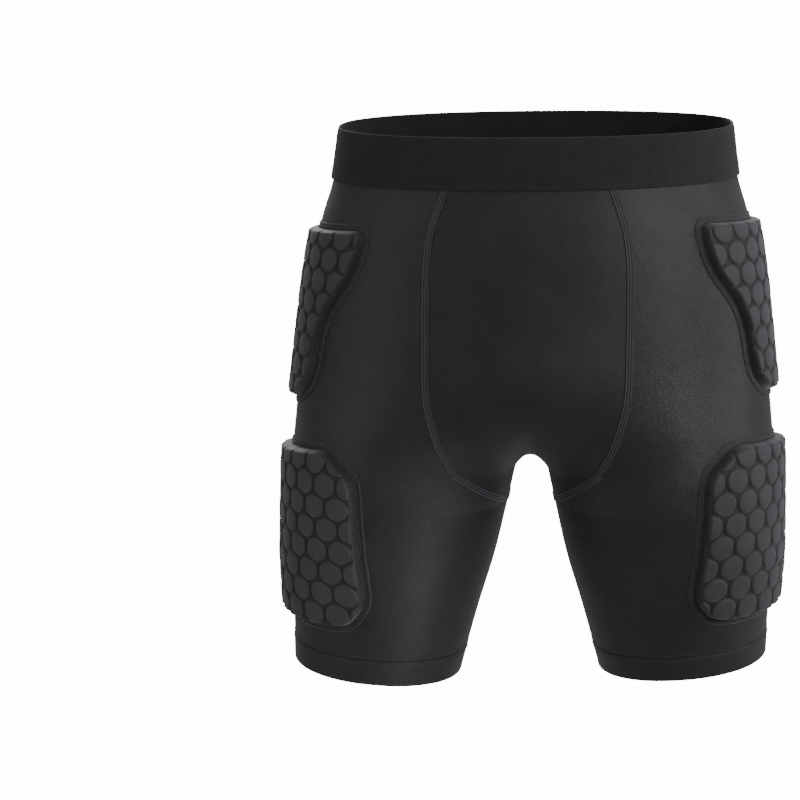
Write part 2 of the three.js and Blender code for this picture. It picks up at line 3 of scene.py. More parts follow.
import bmesh
import bpy
import numpy as np
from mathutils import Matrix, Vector


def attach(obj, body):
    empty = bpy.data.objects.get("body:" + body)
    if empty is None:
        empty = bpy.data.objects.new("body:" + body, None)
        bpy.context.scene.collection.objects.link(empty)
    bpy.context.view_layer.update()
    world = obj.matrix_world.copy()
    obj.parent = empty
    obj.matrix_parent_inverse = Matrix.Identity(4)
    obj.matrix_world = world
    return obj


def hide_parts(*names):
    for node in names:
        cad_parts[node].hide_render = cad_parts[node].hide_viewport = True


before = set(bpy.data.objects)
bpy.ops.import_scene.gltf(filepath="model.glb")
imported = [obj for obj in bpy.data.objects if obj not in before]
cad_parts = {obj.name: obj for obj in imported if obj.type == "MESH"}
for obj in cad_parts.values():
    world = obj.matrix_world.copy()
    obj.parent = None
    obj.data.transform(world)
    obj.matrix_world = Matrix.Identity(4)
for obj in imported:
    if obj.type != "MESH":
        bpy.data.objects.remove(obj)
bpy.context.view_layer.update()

# Waistband
# A 40 mm ring of woven elastic, sewn over the top of the knit panels with a line of small
# stitches just above its lower edge, and joined at the centre back under a short bartack.
# The form that the worn cloth takes comes first: one oval at the waist that forks into two
# legs. Sizes are millimetres, the wearer faces -Y, and a drop is measured from the band's top.
BAND_TOP, BAND_BOTTOM, PANEL_TOP = 20.0, -20.0, -12.0
SEAT_DROP, RISE, INSEAM = 195.0, 260.0, 174.0
HEM_HEIGHT, HEM_TILT, STRIDE, LEAN = 20.0, 6.5, 10.0, 0.018
CROTCH_Z = BAND_TOP - RISE
HEM_Z = CROTCH_Z - INSEAM
FORK_RISE, FORK_FALL, CROTCH_ROUND, GUSSET_DROP = 90.0, 15.0, 12.0, 35.0
POUCH_DEPTH, POUCH_RADIUS, POUCH_DROP, POUCH_FADE = 9.0, 45.0, 195.0, 60.0
TORSO_POWER, LEG_POWER = 2.3, 2.1
REACH, HALVINGS, GRADIENT_STEP = 260.0, 26, 0.5
LEG_SPACING_TOP, LEG_SPACING_HEM = 202.0, 244.0
WAIST = {"side": 152.0, "front": 100.0, "back": 98.0}
SEAT = {"side": 185.5, "front": 109.0, "back": 134.0}
THIGH = {"side": 192.0, "front": 99.0, "back": 107.0}
HEM = {"side": 68.0, "front": 73.0, "back": 70.0}
# Rows of how far down a level is, and how far its side, front and back have changed by there,
# from one of the sizes above to the next
TORSO_SHARES = [
    (0, 0, 0, 0), (0.205, 0.18, 0.43, 0.17), (0.374, 0.47, 0.79, 0.39),
    (0.564, 0.68, 1, 0.67), (0.77, 0.84, 1.03, 0.92), (1, 1, 1, 1),
]
HIP_SHARES = [(0.48, 0.54, 0.3, 0.37), (1, 1, 1, 1)]
LEG_SHARES = [(0.26, 0.18, 0.21, 0.32), (0.49, 0.37, 0.46, 0.6), (0.72, 0.68, 0.73, 0.81), (1, 1, 1, 1)]
MM, TINY = 0.001, 1e-9


def mix(a, b, share):
    return a + (b - a) * share


def smoothstep(low, high, x):
    t = np.clip((x - low) / (high - low), 0, 1)
    return t * t * (3 - 2 * t)


def curve_through(rows):
    """A smooth curve through the rows of a table of places and values."""
    knots, values = np.array(rows, float).T
    last = len(knots) - 1
    before = np.maximum(np.arange(last + 1) - 1, 0)
    after = np.minimum(np.arange(last + 1) + 1, last)
    slopes = (values[after] - values[before]) / (knots[after] - knots[before])

    def curve(x):
        at = np.clip(x, knots[0], knots[-1])
        i = np.clip(np.searchsorted(knots, at, side="right") - 1, 0, last - 1)
        span = knots[i + 1] - knots[i]
        t = (at - knots[i]) / span
        leave = t * (1 - t) ** 2 * span * slopes[i]
        arrive = t * t * (t - 1) * span * slopes[i + 1]
        return mix(values[i], values[i + 1], t * t * (3 - 2 * t)) + leave + arrive

    return curve


def leg_centre(z):
    return mix(LEG_SPACING_TOP, LEG_SPACING_HEM, (CROTCH_Z - z) / INSEAM) / 2


def form_rows():
    rows = []
    sizes = ("side", "front", "back")
    for down, *shares in TORSO_SHARES:
        rows.append([down * SEAT_DROP] + [mix(WAIST[key], SEAT[key], s) for key, s in zip(sizes, shares)])
    for down, *shares in HIP_SHARES:
        reach = [mix(SEAT[key], THIGH[key], s) for key, s in zip(sizes, shares)]
        rows.append([mix(SEAT_DROP, RISE, down)] + reach)
    leg_top = THIGH["side"] - LEG_SPACING_TOP / 2
    for down, side, front, back in LEG_SHARES:
        centre = leg_centre(CROTCH_Z - down * INSEAM)
        rows.append([RISE + down * INSEAM, centre + mix(leg_top, HEM["side"], side),
                     mix(THIGH["front"], HEM["front"], front), mix(THIGH["back"], HEM["back"], back)])
    return np.array(rows)


form = form_rows()
side_at, front_at, back_at = (curve_through(form[:, [0, column]]) for column in (1, 2, 3))


def oval_gap(x, y, side, depth, power):
    reach = np.abs(x / side) ** power + np.abs(y / depth) ** power
    return (reach ** (1 / power) - 1) * side


def body_gap(x, y, z):
    """Below zero inside the body and above zero outside it."""
    drop = BAND_TOP - z
    centre, side = leg_centre(z), side_at(drop)
    depth = np.where(y < 0, front_at(drop), back_at(drop))
    forked = 1 - smoothstep(CROTCH_Z - FORK_FALL, CROTCH_Z + FORK_RISE, z)
    torso = oval_gap(x, y, side, depth, TORSO_POWER)
    left = oval_gap(x - centre, y, side - centre, depth, LEG_POWER)
    right = oval_gap(x + centre, y, side - centre, depth, LEG_POWER)
    near = np.maximum(CROTCH_ROUND - np.abs(left - right), 0) / CROTCH_ROUND
    legs = np.minimum(left, right) - near * near * CROTCH_ROUND / 4
    from_pouch = (x * x + (z - BAND_TOP + POUCH_DROP) ** 2) / POUCH_RADIUS ** 2
    pouch = POUCH_DEPTH * np.exp(-from_pouch) * smoothstep(0, 1, -y / POUCH_FADE)
    return mix(torso, legs, forked) - pouch


def solve(rising, low, high):
    low, high = np.array(low, float), np.array(high, float)
    for _ in range(HALVINGS):
        middle = (low + high) / 2
        below = rising(middle) < 0
        low, high = np.where(below, middle, low), np.where(below, high, middle)
    return (low + high) / 2


# The level at which the body forks, where its middle line leaves it
fork_drop = solve(lambda drop: body_gap(0.0, 0.0, -drop), -CROTCH_Z - FORK_RISE, -CROTCH_Z + FORK_FALL)
SADDLE_Z = -float(fork_drop)
TIP_Z = SADDLE_Z - GUSSET_DROP


def centre_depth(z, to_back):
    return solve(lambda depth: body_gap(0.0, to_back * depth, z), np.zeros_like(z), np.full_like(z, REACH))


def centre_angle(z, to_back):
    """The angle round a leg's axis at which a level section meets the middle of the body."""
    z = np.asarray(z, float)
    return np.where(z > SADDLE_Z, np.arctan2(centre_depth(z, to_back), -leg_centre(z)), np.pi)


def skin_at(z, angle):
    """Points on the wearer's left, and the directions that face outwards there."""
    z, angle = (np.array(a, float) for a in np.broadcast_arrays(z, angle))
    to_back = np.where(angle < 0, -1.0, 1.0)
    depth = centre_depth(z, to_back)
    middle = np.where(z > SADDLE_Z, np.arctan2(depth, -leg_centre(z)), np.inf)
    centre = leg_centre(z)
    turn = np.cos(angle)
    limit = np.where(turn < -TINY, -centre / np.minimum(turn, -TINY), REACH)
    out = solve(lambda r: body_gap(centre + r * turn, r * np.sin(angle), z), np.zeros_like(z),
                np.minimum(limit, REACH))
    at_middle = np.abs(angle) >= middle
    x = np.where(at_middle, 0.0, centre + out * turn)
    y = np.where(at_middle, to_back * depth, out * np.sin(angle))
    step = GRADIENT_STEP
    normal = np.stack([
        body_gap(x + step, y, z) - body_gap(x - step, y, z),
        body_gap(x, y + step, z) - body_gap(x, y - step, z),
        body_gap(x, y, z + step) - body_gap(x, y, z - step),
    ], axis=-1)
    return np.stack([x, y, z], axis=-1), normal / np.linalg.norm(normal, axis=-1, keepdims=True)


def worn(point, normal, side):
    """The wearer's right side mirrors the left, with its leg a little ahead and its hip a little lower."""
    down = np.maximum(SADDLE_Z - point[..., 2], 0) / (SADDLE_Z - HEM_Z)
    flip = np.stack([side * np.ones_like(down), np.ones_like(down), np.ones_like(down)], axis=-1)
    moved = point * flip
    moved[..., 1] += side * STRIDE * down * down
    moved[..., 2] += LEAN * moved[..., 0]
    return moved, normal * flip


MERGE_DISTANCE, SHARP_ANGLE = 0.02, 50


def grid_mesh(name, columns, rows, place, closed=False):
    """A grid whose corners place() puts on the body, with a UV map in millimetres of cloth."""
    bm = bmesh.new()
    bmesh.ops.create_grid(bm, x_segments=columns, y_segments=rows, size=1)
    mesh = bpy.data.meshes.new(name)
    bm.to_mesh(mesh)
    bm.free()
    flat = np.empty(len(mesh.vertices) * 3)
    mesh.vertices.foreach_get("co", flat)
    flat = flat.reshape(-1, 3)
    across = np.rint((flat[:, 0] + 1) / 2 * columns).astype(int)
    down = np.rint((1 - flat[:, 1]) / 2 * rows).astype(int)
    points, normals = place(np.linspace(0, 1, columns + 1)[None, :], np.linspace(0, 1, rows + 1)[:, None])
    run = np.cumsum(np.linalg.norm(np.diff(points, axis=1), axis=-1), axis=1)
    run = np.concatenate([np.zeros((rows + 1, 1)), run], axis=1)
    run -= run[:, [columns // 2]]
    fall = np.cumsum(np.linalg.norm(np.diff(points, axis=0), axis=-1), axis=0)
    fall = np.concatenate([np.zeros((1, columns + 1)), fall], axis=0)
    mesh.vertices.foreach_set("co", (points[down, across] * MM).ravel())
    corners = np.empty(len(mesh.loops), int)
    mesh.loops.foreach_get("vertex_index", corners)
    layer = mesh.uv_layers.new(name="cloth")
    uv = np.stack([run[down, across], -fall[down, across]], axis=-1)[corners]
    layer.data.foreach_set("uv", uv.ravel())
    mesh.update()
    face = mesh.polygons[len(mesh.polygons) // 3]
    at = face.vertices[0]
    if np.dot(face.normal, normals[down[at], across[at]]) < 0:
        mesh.flip_normals()
    if closed:
        bm = bmesh.new()
        bm.from_mesh(mesh)
        bmesh.ops.remove_doubles(bm, verts=bm.verts, dist=MERGE_DISTANCE * MM)
        bm.to_mesh(mesh)
        bm.free()
    mesh.polygons.foreach_set("use_smooth", [True] * len(mesh.polygons))
    return mesh


def add_piece(name, mesh, material):
    """Every piece is an object at the origin that rides on the body."""
    piece = bpy.data.objects.new(name, mesh)
    bpy.context.scene.collection.objects.link(piece)
    mesh.materials.append(material)
    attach(piece, "root")
    return piece


def give_wall(piece, wall, rounding):
    """Cloth of even thickness, measured inwards, with rounded cut edges."""
    solid = piece.modifiers.new("wall", "SOLIDIFY")
    solid.thickness, solid.offset = wall * MM, -1
    bevel = piece.modifiers.new("rounding", "BEVEL")
    bevel.width, bevel.segments, bevel.limit_method = rounding * MM, 2, "ANGLE"
    bevel.angle_limit = math.radians(SHARP_ANGLE)
    bevel.harden_normals = True


class Shade:
    """A socket in a material's tree. Arithmetic on it adds Math nodes."""

    def __init__(self, tree, socket):
        self.tree, self.socket = tree, socket

    def node(self, kind, settings, inputs, output=0):
        made = self.tree.nodes.new(kind)
        for key, value in settings.items():
            setattr(made, key, value)
        for key, value in inputs.items():
            if isinstance(value, Shade):
                self.tree.links.new(value.socket, made.inputs[key])
            else:
                made.inputs[key].default_value = value
        return Shade(self.tree, made.outputs[output])

    def math(self, operation, a, b=0.0):
        return self.node("ShaderNodeMath", {"operation": operation}, {0: a, 1: b})

    def __add__(self, other):
        return self.math("ADD", self, other)

    def __radd__(self, other):
        return self.math("ADD", other, self)

    def __sub__(self, other):
        return self.math("SUBTRACT", self, other)

    def __rsub__(self, other):
        return self.math("SUBTRACT", other, self)

    def __mul__(self, other):
        return self.math("MULTIPLY", self, other)

    def __rmul__(self, other):
        return self.math("MULTIPLY", other, self)

    def wave(self, pitch):
        """From 0 to 1 and back over each pitch."""
        return self.math("SINE", self * (2 * math.pi / pitch)) * 0.5 + 0.5

    def ramp(self, low, high):
        """From 0 at low to 1 at high, smoothly."""
        inputs = {"Value": self, "From Min": low, "From Max": high}
        return self.node("ShaderNodeMapRange", {"interpolation_type": "SMOOTHSTEP"}, inputs)

    def blend(self, first, second):
        """A colour from first to second, with this as the factor."""
        inputs = {0: self, 6: first, 7: second}
        return self.node("ShaderNodeMix", {"data_type": "RGBA"}, inputs, 2)


def linear(red, green, blue):
    """A colour as a screen shows it, from 0 to 255, in the scene's own light."""
    shares = [c / 255 for c in (red, green, blue)]
    return tuple(s / 12.92 if s < 0.04045 else ((s + 0.055) / 1.055) ** 2.4 for s in shares) + (1.0,)


def new_finish(name, roughness, sheen, specular=0.3):
    """A cloth's shader, with its colour, roughness and relief still to come."""
    material = bpy.data.materials.new(name)
    material.use_nodes = True
    tree = material.node_tree
    shader = tree.nodes["Principled BSDF"]
    shader.inputs["Roughness"].default_value = roughness
    shader.inputs["Specular IOR Level"].default_value = specular
    shader.inputs["Sheen Weight"].default_value = sheen
    shader.inputs["Sheen Roughness"].default_value = 0.45
    shader.inputs["Sheen Tint"].default_value = (0.85, 0.87, 0.92, 1)
    return material, Shade(tree, None), shader


def finish_with(start, shader, colour, relief, height, roughness=None):
    """Joins a colour and a relief of that height, in metres, to a shader."""
    tree = start.tree
    tree.links.new(colour.socket, shader.inputs["Base Color"])
    bump = start.node("ShaderNodeBump", {}, {"Height": relief, "Distance": height, "Strength": 1.0})
    tree.links.new(bump.socket, shader.inputs["Normal"])
    if roughness is not None:
        tree.links.new(roughness.socket, shader.inputs["Roughness"])


def cloth_places(start):
    """Millimetres round and down the cloth, and the UV map itself."""
    uv = start.node("ShaderNodeUVMap", {"uv_map": "cloth"}, {})
    across = start.node("ShaderNodeSeparateXYZ", {}, {0: uv}, 0)
    down = start.node("ShaderNodeSeparateXYZ", {}, {0: uv}, 1)
    return uv, across, down


def noise(start, vector, scale, detail=3.0):
    return start.node("ShaderNodeTexNoise", {}, {"Vector": vector, "Scale": scale, "Detail": detail}, 0)


ELASTIC_DARK, ELASTIC_LIGHT = (20, 20, 23), (42, 42, 46)
ELASTIC_RIB, ELASTIC_PICK, ELASTIC_RELIEF = 1.3, 0.9, 0.00022


def elastic_finish():
    """Woven elastic: fine ribs across the band and a darker, grainy yarn."""
    material, start, shader = new_finish("elastic", roughness=0.78, sheen=0.12)
    uv, across, down = cloth_places(start)
    ribs = across.wave(ELASTIC_RIB)
    picks = down.wave(ELASTIC_PICK)
    grain = noise(start, uv, 1.6)
    soft = noise(start, uv, 0.05, 2.0)
    relief = ribs * 0.55 + picks * 0.3 + grain * 0.6
    shade = (ribs * 0.25 + grain * 0.55 + soft * 0.3).ramp(0.25, 0.95)
    colour = shade.blend(linear(*ELASTIC_DARK), linear(*ELASTIC_LIGHT))
    finish_with(start, shader, colour, relief, ELASTIC_RELIEF)
    return material


BAND_WALL, BAND_GAP, BAND_LIP, BAND_LIP_REACH = 2.2, 0.3, 0.35, 5
BAND_CLOTH, BAND_ROUNDING = 2.0, 0.7
BAND_STITCH_RISE, STITCH_DIP, STITCH_DIP_HALF = 3.2, 0.3, 0.9
BAND_COLUMNS, BAND_ROWS = 260, 20


def band_place(across, down):
    """Round the band from the centre back, over the wearer's right, the front and the left."""
    turn = across * 2 - 1
    side = np.where(turn < 0, -1.0, 1.0)
    z = mix(BAND_TOP, BAND_BOTTOM, down) + 0 * across
    front, back = centre_angle(z, -1.0), centre_angle(z, 1.0)
    angle = mix(-front, back, np.abs(turn))
    point, normal = worn(*skin_at(z, angle), side)
    from_edge = (BAND_TOP - BAND_BOTTOM) * np.minimum(down, 1 - down)
    dip = STITCH_DIP * np.exp(-((z - BAND_BOTTOM - BAND_STITCH_RISE) / STITCH_DIP_HALF) ** 2)
    bulge = BAND_LIP * smoothstep(0, BAND_LIP_REACH, from_edge) - dip
    lift = BAND_GAP + BAND_WALL - BAND_LIP + bulge
    return point + normal * lift[..., None], normal


elastic = elastic_finish()
band_mesh = grid_mesh("waistband_cloth", BAND_COLUMNS, BAND_ROWS, band_place, closed=True)
waistband = add_piece("elastic_waistband", band_mesh, elastic)
give_wall(waistband, BAND_CLOTH, BAND_ROUNDING)
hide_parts("waistband")


# Stitches
# Every row of sewing is polyester thread, seen as a line of short raised beads a little
# lighter than the cloth. Each bead is one stitch, a few dozen faces. A row is given by its
# stitches' pitch, length and thickness.
THREAD_DARK, THREAD_LIGHT = (44, 44, 48), (74, 74, 79)
THREAD_GRAIN, THREAD_RELIEF = 900.0, 0.0001
BAND_STITCH, BARTACK_STITCH = (3.4, 1.8, 0.34), (1.5, 1.7, 0.7)
HEM_STITCH, PAD_STITCH = (3.0, 2.3, 0.62), (2.6, 1.7, 0.95)
BEAD_SIDES, BEAD_RINGS, LOOK_AHEAD = 6, 4, 0.3


def thread_finish():
    material, start, shader = new_finish("thread", roughness=0.55, sheen=0.1, specular=0.4)
    places = start.node("ShaderNodeTexCoord", {}, {}, 3)
    grain = noise(start, places, THREAD_GRAIN)
    colour = grain.ramp(0.3, 0.7).blend(linear(*THREAD_DARK), linear(*THREAD_LIGHT))
    finish_with(start, shader, colour, grain, THREAD_RELIEF)
    return material


thread = thread_finish()


def stitch_row(name, points, normals, stitch, closed=False):
    """Beads along a path on the cloth, sunk a third into it, each lying along the path."""
    pitch, length, thickness = stitch
    if closed:
        points, normals = np.vstack([points, points[:1]]), np.vstack([normals, normals[:1]])
    steps = np.linalg.norm(np.diff(points, axis=0), axis=1)
    run = np.concatenate([[0], np.cumsum(steps)])
    count = max(int(run[-1] / pitch), 2)
    at = (np.arange(count) + 0.5) * run[-1] / count
    where = np.stack([np.interp(at, run, points[:, k]) for k in range(3)], axis=1)
    ahead = np.stack([np.interp(at + LOOK_AHEAD, run, points[:, k]) for k in range(3)], axis=1)
    behind = np.stack([np.interp(at - LOOK_AHEAD, run, points[:, k]) for k in range(3)], axis=1)
    along = ahead - behind
    along /= np.linalg.norm(along, axis=1, keepdims=True)
    up = np.stack([np.interp(at, run, normals[:, k]) for k in range(3)], axis=1)
    aside = np.cross(up, along)
    aside /= np.linalg.norm(aside, axis=1, keepdims=True)
    up = np.cross(along, aside)
    bm = bmesh.new()
    bmesh.ops.create_uvsphere(bm, u_segments=BEAD_SIDES, v_segments=BEAD_RINGS, radius=1)
    bead = bpy.data.meshes.new(name + "_bead")
    bm.to_mesh(bead)
    bm.clear()
    for centre, x, y, z in zip(where, along, aside, up):
        first = len(bm.verts)
        bm.from_mesh(bead)
        bm.verts.ensure_lookup_table()
        for vert in bm.verts[first:]:
            local = vert.co
            place = centre + x * local.x * length / 2 + y * local.y * thickness / 2
            vert.co = (place + z * (local.z * thickness / 2 + thickness / 6)) * MM
    mesh = bpy.data.meshes.new(name)
    bm.to_mesh(mesh)
    bm.free()
    bpy.data.meshes.remove(bead)
    mesh.polygons.foreach_set("use_smooth", [True] * len(mesh.polygons))
    return add_piece(name, mesh, thread)


LINE_STEPS, TACK_STEPS = 400, 12
BARTACK_HALF, BARTACK_TOP, BARTACK_END = 0.0016, 0.12, 0.3
turns = np.linspace(0, 1, LINE_STEPS)[:, None]
stitch_level = np.full_like(turns, 1 - BAND_STITCH_RISE / (BAND_TOP - BAND_BOTTOM))
band_line, band_up = (a[:, 0] for a in band_place(turns, stitch_level))
stitch_row("waistband_stitches", band_line, band_up, BAND_STITCH)
for number, turn in enumerate(np.linspace(-BARTACK_HALF, BARTACK_HALF, 3)):
    tack_down = np.linspace(BARTACK_TOP, BARTACK_END, TACK_STEPS)[:, None]
    tack_line, tack_up = (a[:, 0] for a in band_place(np.full_like(tack_down, turn % 1), tack_down))
    stitch_row(f"waistband_bartack_{number}", tack_line, tack_up, BARTACK_STITCH)


# Knit panels
# Four panels of 2 mm stretch knit: a front with a pouch, a seat, and one for each leg and side.
# They meet in two long seams that run from the band to the inside of the thigh.
WALL, PANEL_ROUNDING, SEAM_GAP, SEAM_REACH = 2.0, 0.3, 0.35, 100
TORSO_ROWS, GUSSET_ROWS, CENTRE_ROW_POWER, NEARLY = 7.0, 4.0, 1.8, 0.0001
FRONT_SEAM = curve_through([
    (0, 96.5), (0.13, 92.8), (0.24, 92.3), (0.37, 93.8), (0.54, 96.3), (0.72, 99.4), (0.83, 103.9),
    (0.91, 108.9), (1, 117.2),
])
SEAT_SEAM = curve_through([(0, 52.7), (0.28, 77.8), (0.51, 88.5), (0.77, 97.9), (1, 115.8)])


def seam_at(table, step):
    """A long seam's height, level and angle at a step of the panels' rows, counted from the band."""
    down = np.clip(step / TORSO_ROWS, 0, 1)
    under = np.clip((step - TORSO_ROWS) / GUSSET_ROWS, 0, 1)
    torso_z = np.where(step < 0, mix(BAND_BOTTOM, PANEL_TOP, -step), mix(BAND_BOTTOM, SADDLE_Z, down))
    level = np.where(step > TORSO_ROWS, mix(SADDLE_Z, TIP_Z, under), torso_z)
    z = np.where(step > TORSO_ROWS, SADDLE_Z - GUSSET_DROP * (1 - (1 - under) ** 2), torso_z)
    angle = np.where(step > TORSO_ROWS, mix(np.radians(table(1.0)), np.pi, under), np.radians(table(down)))
    return z, level, angle


def tilted(z, angle):
    down = np.clip((TIP_Z - z) / (TIP_Z - HEM_Z), 0, 1)
    return z + HEM_TILT * down * np.cos(angle)


def centre_place(table, to_back):
    """Places for the front or seat panel, from the wearer's right seam to the left one."""
    def place(across, down):
        last = TORSO_ROWS + GUSSET_ROWS
        step = mix(-1.0, last, down) + 0 * across
        turn = across * 2 - 1 + 0 * down
        edge_z, _, edge_angle = seam_at(table, step)
        edge_angle = np.where(step < TORSO_ROWS, edge_angle + SEAM_GAP / SEAM_REACH, edge_angle)
        share = np.clip(step, 0, last) / last
        centre_z = np.where(step < 0, edge_z, mix(SADDLE_Z, BAND_BOTTOM, (1 - share) ** CENTRE_ROW_POWER))
        middle = centre_angle(centre_z, to_back)
        inward = 1 - np.abs(turn)
        z = mix(edge_z, centre_z, inward)
        point, normal = skin_at(z, to_back * mix(edge_angle, middle, inward))
        point[..., 0] = np.where(inward > 1 - NEARLY, 0, point[..., 0])
        point[..., 1] += np.where(step > last - NEARLY, to_back * SEAM_GAP / 2, 0)
        left = worn(point, normal, 1.0)
        right = worn(point, normal, -1.0)
        is_left = (turn >= 0)[..., None]
        return np.where(is_left, left[0], right[0]), np.where(is_left, left[1], right[1])
    return place


THIGH_STEPS = 9.0


def leg_place(side):
    """Places for a leg panel, from the front seam round the outside to the seat seam."""
    last = TORSO_ROWS + GUSSET_ROWS + THIGH_STEPS
    bottom = HEM_Z + HEM_HEIGHT + SEAM_GAP

    def place(across, down):
        step = mix(-1.0, last, down) + 0 * across
        front_z, level, front = seam_at(FRONT_SEAM, step)
        seat_z, _, seat = seam_at(SEAT_SEAM, step)
        angle = mix(-front, seat, across)
        end_z = np.where(angle < 0, front_z, seat_z)
        end = np.where(angle < 0, -front, seat)
        z = mix(level, end_z, (angle / end) ** 2)
        below = (step - TORSO_ROWS - GUSSET_ROWS) / THIGH_STEPS
        z = np.where(below > 0, tilted(mix(TIP_Z, bottom, np.clip(below, 0, 1)), angle), z)
        return worn(*skin_at(z, angle), side)
    return place


KNIT_DARK, KNIT_LIGHT = (22, 22, 25), (39, 39, 43)
KNIT_WALE, KNIT_COURSE, KNIT_RIB, KNIT_RELIEF = 0.95, 0.8, 2.3, 0.00018


def knit_finish():
    """Charcoal jersey with a soft sheen: fine loops, a faint diagonal rib and shallow waves."""
    material, start, shader = new_finish("knit", roughness=0.55, sheen=0.16, specular=0.38)
    uv, across, down = cloth_places(start)
    wales = across.wave(KNIT_WALE)
    courses = (down + wales * 0.35).wave(KNIT_COURSE)
    rib = (across * 0.8 + down).wave(KNIT_RIB)
    grain = noise(start, uv, 0.9)
    cloud = noise(start, uv, 0.022, 4.0)
    relief = wales * 0.3 + courses * 0.3 + rib * 0.14 + grain * 0.6 + cloud * 5.0
    shade = (rib * 0.08 + courses * 0.08 + grain * 0.46 + cloud * 0.38).ramp(0.3, 0.7)
    colour = shade.blend(linear(*KNIT_DARK), linear(*KNIT_LIGHT))
    roughness = grain * 0.16 + 0.4
    finish_with(start, shader, colour, relief, KNIT_RELIEF, roughness)
    return material


knit = knit_finish()
PANEL_ROWS, FRONT_COLUMNS, SEAT_COLUMNS, LEG_COLUMNS, LEG_ROWS = 100, 64, 96, 132, 150
front_mesh = grid_mesh("front_cloth", FRONT_COLUMNS, PANEL_ROWS, centre_place(FRONT_SEAM, -1.0))
front_panel = add_piece("knit_front", front_mesh, knit)
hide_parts("front_panel")
seat_mesh = grid_mesh("seat_cloth", SEAT_COLUMNS, PANEL_ROWS, centre_place(SEAT_SEAM, 1.0))
seat_panel = add_piece("knit_seat", seat_mesh, knit)
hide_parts("seat_panel")
leg_panels = {}
for hand, side in (("left", 1.0), ("right", -1.0)):
    leg_mesh = grid_mesh(f"leg_cloth_{hand}", LEG_COLUMNS, LEG_ROWS, leg_place(side), closed=True)
    leg_panels[hand] = add_piece(f"knit_leg_{hand}", leg_mesh, knit)
    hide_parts(f"leg_panel_{hand}")
for panel in (front_panel, seat_panel, *leg_panels.values()):
    give_wall(panel, WALL, PANEL_ROUNDING)


# Hems
# Each leg ends in a 20 mm fold of the same knit, three millimetres thick, held by two lines of
# cover stitch, one on the fold and one just above it.
HEM_WALL, HEM_PROUD, HEM_ROUNDING, HEM_STITCHES = 3.0, 0.4, 0.9, (17.6, 22.2)
HEM_COLUMNS, HEM_ROWS, HEM_LINE_STEPS = 150, 12, 300


def hem_place(side, lift=HEM_PROUD):
    def place(across, down):
        angle = mix(-np.pi, np.pi, across) + 0 * down
        z = mix(HEM_Z + HEM_HEIGHT, HEM_Z, down) + 0 * across
        point, normal = worn(*skin_at(tilted(z, angle), angle), side)
        return point + normal * lift, normal
    return place


for hand, side in (("left", 1.0), ("right", -1.0)):
    hem_mesh = grid_mesh(f"hem_cloth_{hand}", HEM_COLUMNS, HEM_ROWS, hem_place(side), closed=True)
    hem = add_piece(f"knit_hem_{hand}", hem_mesh, knit)
    give_wall(hem, HEM_WALL, HEM_ROUNDING)
    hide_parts(f"leg_hem_{hand}")
    for number, rise in enumerate(HEM_STITCHES):
        round_leg = np.linspace(0, 1, HEM_LINE_STEPS)[:, None]
        share = np.full_like(round_leg, (HEM_HEIGHT - rise) / HEM_HEIGHT)
        lift = HEM_PROUD if rise < HEM_HEIGHT else 0.0
        line, up = (a[:, 0] for a in hem_place(side, lift)(round_leg, share))
        stitch_row(f"hem_stitches_{hand}_{number}", line, up, HEM_STITCH)


# Flatlock seams
# The panels are joined edge to edge by a flatlock stitch, a flat band of thread 6 mm wide
# with three fine ridges, lying on the cloth. The inseam is sewn the same way.
SEAM_WIDTH, SEAM_WALL, SEAM_LIFT, RIDGE_HEIGHT, RIDGE_PITCH = 6.4, 0.3, 0.38, 0.5, 2.15
RIDGE_SHARPNESS, STITCH_BEAT, STITCH_SLANT = 1.5, 0.28, 0.8
EDGE_FALL, EDGE_FALL_REACH, RIDGE_REACH = 0.3, 0.5, 0.7
SEAM_COLUMNS, SEAM_STEP, STITCH_PITCH = 21, 1.0, 2.4
SEAM_START, SEAM_PLACES, INSEAM_TOP, INSEAM_PLACES = -0.25, 240, -252.0, 120
# The ridge colour is partly the thread's own paler colour and partly painted sheen; the edge colour is
# painted shade where the band meets the cloth
SEAM_DARK, SEAM_THREAD_AND_SHEEN, SEAM_EDGE_SHADE = (27, 27, 30), (76, 76, 82), (16, 16, 18)
SEAM_TWIST, SEAM_EDGE_FROM, SEAM_EDGE_TO, SEAM_RELIEF = 2.2, 2.6, 3.1, 0.00015
INSEAM_ANGLES = curve_through([(-414, 112), (-354, 113), (-323, 117.5), (-285, 125), (-257, 130)])


def seam_finish():
    material, start, shader = new_finish("flatlock", roughness=0.6, sheen=0.25, specular=0.35)
    uv, across, down = cloth_places(start)
    slant = (across * 0.9 + down).wave(SEAM_TWIST)
    grain = noise(start, uv, 1.3)
    thread = (across + RIDGE_PITCH / 4).wave(RIDGE_PITCH)
    # Painted shade along the band's edges, and lighter ridges that are partly painted sheen on the thread
    edge_shade = across.math("ABSOLUTE", across).ramp(SEAM_EDGE_FROM, SEAM_EDGE_TO)
    lit = thread.ramp(0.45, 0.95) * (slant * 0.45 + 0.55)
    colour = edge_shade.blend(lit.blend(linear(*SEAM_DARK), linear(*SEAM_THREAD_AND_SHEEN)), linear(*SEAM_EDGE_SHADE))
    finish_with(start, shader, colour, slant * 0.6 + grain * 0.5, SEAM_RELIEF)
    return material


flatlock = seam_finish()


